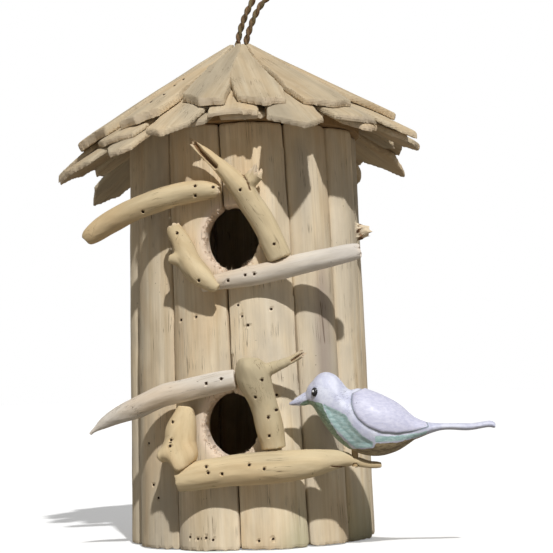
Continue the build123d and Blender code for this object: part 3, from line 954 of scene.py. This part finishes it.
def paint_material():
    """Worn white and pale aqua paint over carved wood, with painted shade round the wings, in the beak's gape
    and partly on the throat and belly.
    """
    material, plan, surface = new_material("worn_paint")
    spot = plan.place()
    mottle = plan.noise(spot, 0.16, 4.0, 0.6)
    brushed = plan.noise(plan.scaled(spot, (0.35, 1.0, 1.2)), 0.7, 4.0, 0.6)
    waver = plan.math("MULTIPLY", plan.math("SUBTRACT", plan.noise(spot, 0.35, 3.0), 0.5), 1.6)

    def part(name):
        """Inside the outline of a painted part, with a wavering edge."""
        return plan.band(plan.math("ADD", plan.attribute(name), waver), -0.15, 0.25)

    colour = plan.two_tone(mottle, 0.35, 0.65, *white_paint)
    aqua = plan.two_tone(brushed, 0.35, 0.65, *aqua_paint)
    colour = plan.blend(part("aqua"), colour, aqua)
    colour = plan.blend(part("lower"), colour, aqua)
    # Throat: grey-green paint, partly painted shade
    colour = plan.blend(part("throat"), colour, plan.two_tone(brushed, 0.4, 0.6, *throat_paint_and_shade))
    # Belly: brown bare wood, partly painted shade
    colour = plan.blend(part("belly"), colour, plan.two_tone(brushed, 0.4, 0.6, *belly_wood_and_shade))
    colour = plan.blend(part("wing"), colour, plan.two_tone(brushed, 0.3, 0.7, *wing_paint))
    edge = plan.math("ABSOLUTE", plan.math("ADD", plan.attribute("wing"), 0.35))
    low_edge = plan.math("MULTIPLY", plan.band(edge, 0.55, 0.2), 0.6)
    colour = plan.blend(low_edge, colour, shade(*wing_shadow))
    worn = plan.band(plan.noise(spot, 0.3, 5.0, 0.7), 0.64, 0.7)
    colour = plan.blend(plan.math("MULTIPLY", worn, 0.35), colour, shade(*rubbed_wood))
    axes = plan.add("ShaderNodeSeparateXYZ", {0: spot}).outputs
    lengthwise = plan.add("ShaderNodeCombineXYZ", {0: axes["Z"], 2: axes["X"]})
    drawn = use_group(plan, fibres, Grain=lengthwise, Width=1.6, Length=5.0)
    split = plan.math("MULTIPLY", drawn["Cracks"], plan.band(plan.attribute("top"), 0.1, 0.5))
    colour = plan.blend(plan.math("MULTIPLY", split, 0.8), colour, shade(*split_dark))
    # A dark line of painted shade along the beak's gape
    colour = plan.blend(plan.math("MULTIPLY", plan.attribute("mouth_shade"), 0.75), colour, shade(*mouth_shade_colour))
    plan.feed(surface, "Base Color", colour)
    plan.feed(surface, "Roughness", plan.band(mottle, 0.3, 0.7, 0.42, 0.6))
    height = plan.math("SUBTRACT", plan.noise(spot, 0.45, 3.0), plan.math("MULTIPLY", split, 0.6))
    plan.feed(surface, "Normal", plan.bump(height, 0.3, 0.0007))
    return material


# Bird's proportions, in millimetres across and up
beak_end = 52
tail_start = 112
back_dip = 73.5
back_dip_depth = 4.2
neck_across = 73
shoulder_height = 92
wing_rise = 1.1
wing_groove = 0.5
breast_hollow = 0.9


def fatten(points, share, line, taller, thicker):
    """Stretch the bird's height about a line and its thickness about its middle, by each vertex's share."""
    middle = bird_middle / MM
    points[:, 2] = line + (points[:, 2] - line) * (1 + taller * share)
    points[:, 1] = middle + (points[:, 1] - middle) * (1 + thicker * share)


def carve_wings(points, normals, wing):
    """Raise both wings, fading towards their tips, with a groove cut round each."""
    raised = eased(unit((wing + 0.5) / 1.1)) * unit((121 - points[:, 0]) / 16)
    groove = unit(1 - abs(wing + 1.1) / 0.9) * (abs(normals[:, 1]) > 0.2)
    points += normals * (wing_rise * raised - wing_groove * groove)[:, None]


def carved_bird():
    """The bird, with a fuller beak and tail, a dip in its back, raised wings and a hollow breast."""
    piece = copy_of("carved_bird")
    soften(piece, bird_grid)
    points = points_of(piece) / MM
    normals = normals_of(piece)
    tail_line = 72.3 - 0.016 * (points[:, 0] - tail_start)
    fatten(points, unit((points[:, 0] - tail_start) / 12), tail_line, 0.55, 0.2)
    beak_line = 88.2 + (points[:, 0] - 37) * 0.27
    fatten(points, unit((beak_end - points[:, 0]) / 6), beak_line, 0.45, 0.3)
    dip = np.exp(-(((points[:, 0] - back_dip) / 4.6) ** 2)) * unit(normals[:, 2] * 1.4)
    points[:, 2] -= back_dip_depth * dip
    slant = points[:, 0] - neck_across + (points[:, 2] - shoulder_height) * 0.15
    neck = np.exp(-((slant / 3.2) ** 2)) * unit((points[:, 2] - 84) / 6)
    fatten(points, neck, 0, 0, -0.14)
    places = points[:, (0, 2)]
    depths = {name: depth_inside(places, outline) for name, outline in outlines.items()}
    carve_wings(points, normals, depths["wing"])
    points -= normals * (breast_hollow * unit(depths["aqua"] / 2.5))[:, None]
    move_points(piece, points * MM)
    for name, depth in depths.items():
        paint(piece, name, depth)
    paint(piece, "top", unit(normals[:, 2] + 0.25) * unit((105 - points[:, 0]) / 10))
    # Where the beak's gape gets its line of painted shade
    mouth_shade = unit(1 - abs(points[:, 2] - beak_line + 1.2) / 0.7) * unit((51 - points[:, 0]) / 2)
    paint(piece, "mouth_shade", mouth_shade)
    for face in piece.data.polygons:
        face.use_smooth = True
    piece.data.materials.append(paint_material())
    place_piece(piece, slot_of["carved_bird"], "carved_bird")
    return piece


bird = carved_bird()

# Eyes: half-sizes, offsets across and up, and how far each part stands out of the head
eye_place = Vector((0.054, bird_middle, 0.0951))
eye_parts = {
    "eye": ((0.0021, 0.0012, 0.0028), (0, 0), 0.0001),
    "eye_dot": ((0.0006, 0.0005, 0.0007), (-0.0001, 0.0003), 0.0014),
}
eye_finishes = {
    "eye": mottled_material("eye_enamel", 0.8, 2.0, (12, 12, 14), (30, 29, 32), 0.25),
    "eye_dot": mottled_material("eye_dot", 0.8, 2.0, (236, 238, 242), (250, 250, 250), 0.4),
}


def eye_pieces(side):
    """An oval eye with a white dot, set into one side of the head."""
    way = Vector((0, side, 0))
    _, spot, facing, _ = bird.ray_cast(eye_place + way * 0.03, -way)
    for name, (size, (across, up), out) in eye_parts.items():
        bpy.ops.mesh.primitive_uv_sphere_add(segments=32, ring_count=16, radius=1)
        ball = bpy.context.object
        ball.name = f"{name}_{'back' if side > 0 else 'front'}"
        ball.scale = size
        ball.rotation_mode = "QUATERNION"
        ball.rotation_quaternion = facing.to_track_quat("Y" if side > 0 else "-Y", "Z")
        ball.location = spot + facing * out + Vector((across, 0, up))
        bpy.ops.object.transform_apply(location=True, rotation=True, scale=True)
        bpy.ops.object.shade_smooth()
        ball.data.materials.append(eye_finishes[name])
        place_piece(ball, slot_of["carved_bird"])


for side in (-1, 1):
    eye_pieces(side)

# Rope: the route's points, in millimetres across, in depth and above the knot's neck
neck_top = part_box("rope_knot")[1].z
rope_diameter = 0.0045
leg_across = 2.55
rope_route = [
    (-leg_across, 0, 0),
    (-leg_across, 0, 19),
    (3.4, -0.4, 37.5),
    (11, 0.4, 51),
    (16.5, -0.3, 64),
    (19, 0.4, 77.5),
    (23, 0.3, 90),
    (33.5, -0.2, 98.5),
    (47, 0.3, 99),
    (58, -0.3, 91),
    (61.5, 0.4, 78),
    (56.5, -0.2, 65.5),
    (44.5, 0.4, 58.5),
    (33, -0.3, 56),
    (24, 0.5, 53),
    (15.8, -0.4, 46.6),
    (8.6, 0.2, 34.5),
    (leg_across, 0, 16),
    (leg_across, 0, 0),
]


def smoothed_route():
    """The rope's middle line, as a row of points that rounds off its route."""
    curve = bpy.data.curves.new("rope_line", "CURVE")
    curve.dimensions = "3D"
    curve.resolution_u = 12
    spline = curve.splines.new("NURBS")
    spline.points.add(len(rope_route) - 1)
    for point, (across, depth, up) in zip(spline.points, rope_route):
        point.co = (across * MM, depth * MM, neck_top + up * MM, 1)
    spline.order_u = 3
    spline.use_endpoint_u = True
    line = bpy.data.objects.new("rope_line", curve)
    bpy.context.scene.collection.objects.link(line)
    bpy.context.view_layer.update()
    mesh = bpy.data.meshes.new_from_object(line)
    path = [vertex.co.copy() for vertex in mesh.vertices]
    bpy.data.objects.remove(line)
    return path


rope_path = smoothed_route()
rope_length = sum((after - before).length for before, after in zip(rope_path, rope_path[1:]))


def along_path(reach):
    """The point and direction at a distance along the rope's line."""
    for before, after in zip(rope_path, rope_path[1:]):
        run = (after - before).length
        if reach <= run:
            return before.lerp(after, reach / run), (after - before).normalized()
        reach -= run
    return rope_path[-1].copy(), (rope_path[-1] - rope_path[-2]).normalized()


# Coir as display colours
coir_dark = (84, 62, 40)
coir_pale = (142, 116, 82)
coir_green = (116, 108, 74)
coir_red = (124, 78, 52)


def rope_material():
    """Brown coir, in yarns that follow the twist."""
    material, plan, surface = new_material("brown_coir")
    grain = plan.attribute("grain", "Vector")
    yarn = use_group(plan, fibres, Grain=grain, Width=0.6, Length=14.0)
    colour = plan.two_tone(yarn["Streaks"], 0.35, 0.65, coir_dark, coir_pale)
    patch = plan.noise(grain, 0.07, 2.0)
    colour = plan.blend(plan.band(patch, 0.5, 0.62, 0.0, 0.6), colour, shade(*coir_green))
    colour = plan.blend(plan.band(patch, 0.46, 0.34, 0.0, 0.5), colour, shade(*coir_red))
    plan.feed(surface, "Base Color", colour)
    surface.inputs["Roughness"].default_value = 0.9
    plan.feed(surface, "Normal", plan.bump(yarn["Relief"], 0.8, 0.0008))
    return material


# Twist: how far along one turn of the strands takes, each strand's radius and distance from the middle,
# and the mesh round and along it
strand_lay = 0.0125
strand_radius = rope_diameter * 0.31
strand_offset = rope_diameter * 0.19
strand_sides = 12
strand_step = 0.0007


def strand(phase):
    """One of the two twisted yarns, as a tube round the rope's line."""
    rings = int(rope_length / strand_step) + 1
    vertices = []
    faces = []
    grain = []
    for ring in range(rings):
        reach = rope_length * ring / (rings - 1)
        centre, way = along_path(reach)
        side = way.cross(Vector((0, 1, 0))).normalized()
        front = side.cross(way)
        turn = 2 * pi * reach / strand_lay + phase
        middle = centre + (side * cos(turn) + front * sin(turn)) * strand_offset
        for corner in range(strand_sides):
            angle = 2 * pi * corner / strand_sides + turn * 1.6
            vertices.append(middle + (side * cos(angle) + front * sin(angle)) * strand_radius)
            grain.append((corner * 0.6, phase * 10, reach / MM))
    for start in range(0, (rings - 1) * strand_sides, strand_sides):
        for corner in range(strand_sides):
            here = start + corner
            beside = start + (corner + 1) % strand_sides
            faces.append((here, beside, beside + strand_sides, here + strand_sides))
    faces.append(tuple(reversed(range(strand_sides))))
    faces.append(tuple(range((rings - 1) * strand_sides, rings * strand_sides)))
    mesh = bpy.data.meshes.new("strand")
    mesh.from_pydata(vertices, [], faces)
    piece = bpy.data.objects.new("strand", mesh)
    bpy.context.scene.collection.objects.link(piece)
    paint(piece, "grain", np.array(grain))
    edited(piece, (bpy.ops.mesh.normals_make_consistent, {"inside": False}))
    finish_with(piece, "SMOOTH", factor=0.3, iterations=1)
    return piece


coir = rope_material()
rope = joined([strand(0), strand(pi)], "rope_loop")
rope.data.materials.append(coir)
for face in rope.data.polygons:
    face.use_smooth = True
place_piece(rope, "rope", "hanging_loop")
finish_node("rope_knot", coir)


# Camera, measured from the photograph's perspective
camera_away = 1.0
camera_height = 0.09512
camera_azimuth = radians(9.0)
camera_pitch = radians(4.443)
camera_pan = radians(-1.136)
camera_roll = radians(-1.764)
focal_share = 1500 / 553  # focal length over the picture's width
film_width = 36
bpy.ops.object.camera_add()
camera = bpy.context.object
facing = camera_azimuth + camera_pan
ahead = Vector((-sin(facing) * cos(camera_pitch), cos(facing) * cos(camera_pitch), sin(camera_pitch)))
level = Vector((cos(facing), sin(facing), 0))
upright = level.cross(ahead)
right = level * cos(camera_roll) + upright * sin(camera_roll)
top = upright * cos(camera_roll) - level * sin(camera_roll)
pose = Matrix((right, top, -ahead)).transposed().to_4x4()
pose.translation = (camera_away * sin(camera_azimuth), -camera_away * cos(camera_azimuth), camera_height)
camera.matrix_world = pose
camera.data.sensor_width = film_width
camera.data.lens = film_width * focal_share
bpy.context.scene.camera = camera

# Light: a key from above and a little to the right, and an even fill
key_azimuth = radians(20)
key_elevation = radians(44)
bpy.ops.object.light_add(type="SUN")
key = bpy.context.object
key.data.energy = 3.2
key.data.angle = radians(1.6)
key_level = Vector((sin(key_azimuth), -cos(key_azimuth), 0))
key_from = key_level * cos(key_elevation) + Vector((0, 0, sin(key_elevation)))
key.rotation_mode = "QUATERNION"
key.rotation_quaternion = key_from.to_track_quat("Z", "Y")

world = bpy.data.worlds.new("studio")
bpy.context.scene.world = world
world.use_nodes = True
sky = Plan(world.node_tree)
backing = world.node_tree.nodes["Background"]
backing.inputs["Color"].default_value = (1, 1, 1, 1)
path_kind = sky.add("ShaderNodeLightPath")
seen = sky.math("MAXIMUM", path_kind.outputs["Is Camera Ray"], path_kind.outputs["Is Glossy Ray"])
sky.feed(backing, "Strength", sky.band(seen, 0.0, 1.0, 0.14, 1.0))

# Floor
bpy.ops.mesh.primitive_plane_add(size=60, location=(0, 0, 0))
floor = bpy.context.object
floor.name = "floor"
floor_finish, plan, surface = new_material("pale_floor")
surface.inputs["Roughness"].default_value = 0.9
ray = plan.add("ShaderNodeLightPath").outputs["Is Camera Ray"]
soft = plan.noise(plan.add("ShaderNodeTexCoord").outputs["Object"], 3.0, 2.0)
seen_floor = plan.blend(soft, (0.84, 0.84, 0.83, 1), (0.87, 0.87, 0.86, 1))
plan.feed(surface, "Base Color", plan.blend(ray, (0.3, 0.28, 0.25, 1), seen_floor))
surface.inputs["Emission Color"].default_value = (1, 1, 1, 1)
plan.feed(surface, "Emission Strength", plan.math("MULTIPLY", ray, 0.3))
floor.data.materials.append(floor_finish)

bpy.context.scene.view_settings.view_transform = "Standard"
